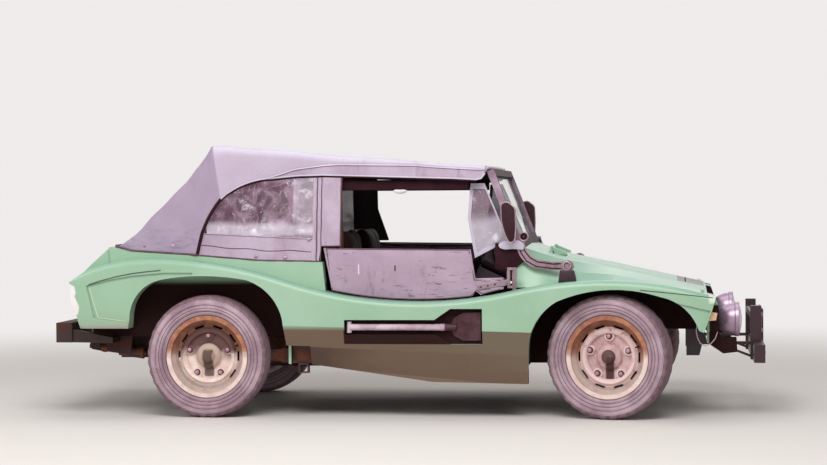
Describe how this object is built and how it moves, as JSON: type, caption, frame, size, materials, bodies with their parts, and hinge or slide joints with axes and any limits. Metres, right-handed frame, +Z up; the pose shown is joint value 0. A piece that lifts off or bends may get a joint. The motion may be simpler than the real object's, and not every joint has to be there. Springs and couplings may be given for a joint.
{
  "type": "beach buggy",
  "caption": "Open moulded beach buggy with a raised fabric top, fabric half doors, steel road wheels and a rear engine.",
  "frame": {"origin": "on the ground, at the middle of the overall length and width", "axes": "+X to the front, +Y to the vehicle's left, +Z up"},
  "size_m": [3.584, 1.6074, 1.38],
  "materials": {
    "body_paint": "faded green gelcoat",
    "chassis_paint": "dull black paint, rusty",
    "rusty_steel": "surface rust",
    "wheel_paint": "old cream paint with rust",
    "rubber": "dusty tyre rubber",
    "canvas": "weathered vinyl canvas",
    "clear_vinyl": "crinkled clear vinyl",
    "glass": "windscreen glass",
    "black_plastic": "matte black",
    "seat_vinyl": "worn black vinyl",
    "bright_trim": "dulled chrome",
    "lamp_lens": "lamp lens",
    "plate_blank": "blank plate",
    "tool_wood": "weathered handle"
  },
  "bodies": {
    "root": {"blank_plate": "plate_blank", "body_side_left": "body_paint", "body_side_right": "body_paint", "curtain_panes": "clear_vinyl", "dashboard": "black_plastic", "door_posts": "chassis_paint", "engine_block": "rusty_steel", "exhaust": "rusty_steel", "floor_pan": "chassis_paint", "front_axle": "rusty_steel", "front_body": "body_paint", "front_bumper": "chassis_paint", "headlamps": "bright_trim", "hood": "canvas", "indicators": "lamp_lens", "jack_tubes": "rusty_steel", "lamp_brows": "body_paint", "mirrors": "black_plastic", "rear_axle": "rusty_steel", "rear_bench": "seat_vinyl", "rear_body": "body_paint", "rear_bumper": "rusty_steel", "roof_frame": "rusty_steel", "scuttle_arms": "rusty_steel", "seats": "seat_vinyl", "side_curtains": "canvas", "spades": "tool_wood", "steering_column": "black_plastic", "tail_lamps": "lamp_lens", "transaxle": "rusty_steel", "windscreen_frame": "chassis_paint", "windscreen_glass": "glass"},
    "door_right": {"door_right": "canvas"},
    "door_left": {"door_left": "canvas"},
    "bonnet_lid": {"bonnet_lid": "body_paint"},
    "engine_lid": {"engine_lid": "body_paint"},
    "steering_wheel": {"steering_wheel": "black_plastic"},
    "knuckle_right": {"knuckle_right": "rusty_steel"},
    "knuckle_left": {"knuckle_left": "rusty_steel"},
    "road_wheel_front_right": {"tyre_front_right": "rubber", "wheel_front_right": "wheel_paint", "drum_front_right": "rusty_steel"},
    "road_wheel_front_left": {"tyre_front_left": "rubber", "wheel_front_left": "wheel_paint", "drum_front_left": "rusty_steel"},
    "road_wheel_rear_right": {"tyre_rear_right": "rubber", "wheel_rear_right": "wheel_paint", "drum_rear_right": "rusty_steel"},
    "road_wheel_rear_left": {"tyre_rear_left": "rubber", "wheel_rear_left": "wheel_paint", "drum_rear_left": "rusty_steel"}
  },
  "joints": [
    {"name": "steer_right", "type": "hinge", "parent": "root", "child": "knuckle_right", "pos_m": [1.04, -0.584, 0.308], "axis": [0, 0, 1], "range_deg": [-14, 38]},
    {"name": "steer_left", "type": "hinge", "parent": "root", "child": "knuckle_left", "pos_m": [1.04, 0.584, 0.308], "axis": [0, 0, 1], "range_deg": [-14, 38]},
    {"name": "spin_front_right", "type": "hinge", "parent": "knuckle_right", "child": "road_wheel_front_right", "pos_m": [1.02253, -0.66616, 0.308], "axis": [0.2079, 0.9781, 0], "continuous": true},
    {"name": "spin_front_left", "type": "hinge", "parent": "knuckle_left", "child": "road_wheel_front_left", "pos_m": [1.05747, 0.66616, 0.308], "axis": [0.2079, 0.9781, 0], "continuous": true},
    {"name": "spin_rear_right", "type": "hinge", "parent": "root", "child": "road_wheel_rear_right", "pos_m": [-1, -0.675, 0.308], "axis": [0, 1, 0], "continuous": true},
    {"name": "spin_rear_left", "type": "hinge", "parent": "root", "child": "road_wheel_rear_left", "pos_m": [-1, 0.675, 0.308], "axis": [0, 1, 0], "continuous": true},
    {"name": "steering_wheel_turn", "type": "hinge", "parent": "root", "child": "steering_wheel", "pos_m": [0.2913, 0.33, 0.74614], "axis": [-0.903, 0, 0.4297], "range_deg": [-196, 532]},
    {"name": "door_right_hinge", "type": "hinge", "parent": "root", "child": "door_right", "pos_m": [0.524, -0.702, 0.7], "axis": [0, 0, 1], "range_deg": [0, 70]},
    {"name": "door_left_hinge", "type": "hinge", "parent": "root", "child": "door_left", "pos_m": [0.524, 0.702, 0.7], "axis": [0, 0, -1], "range_deg": [0, 70]},
    {"name": "bonnet_hinge", "type": "hinge", "parent": "root", "child": "bonnet_lid", "pos_m": [0.712, 0, 0.838], "axis": [0, -1, 0], "range_deg": [0, 60]},
    {"name": "engine_lid_hinge", "type": "hinge", "parent": "root", "child": "engine_lid", "pos_m": [-1.7067, 0, 0.682], "axis": [0, 1, 0], "range_deg": [0, 65]}
  ],
  "couplings": [
    {"joint": "steer_left", "follows": "steer_right", "ratio": 1},
    {"joint": "steering_wheel_turn", "follows": "steer_right", "ratio": 14}
  ]
}
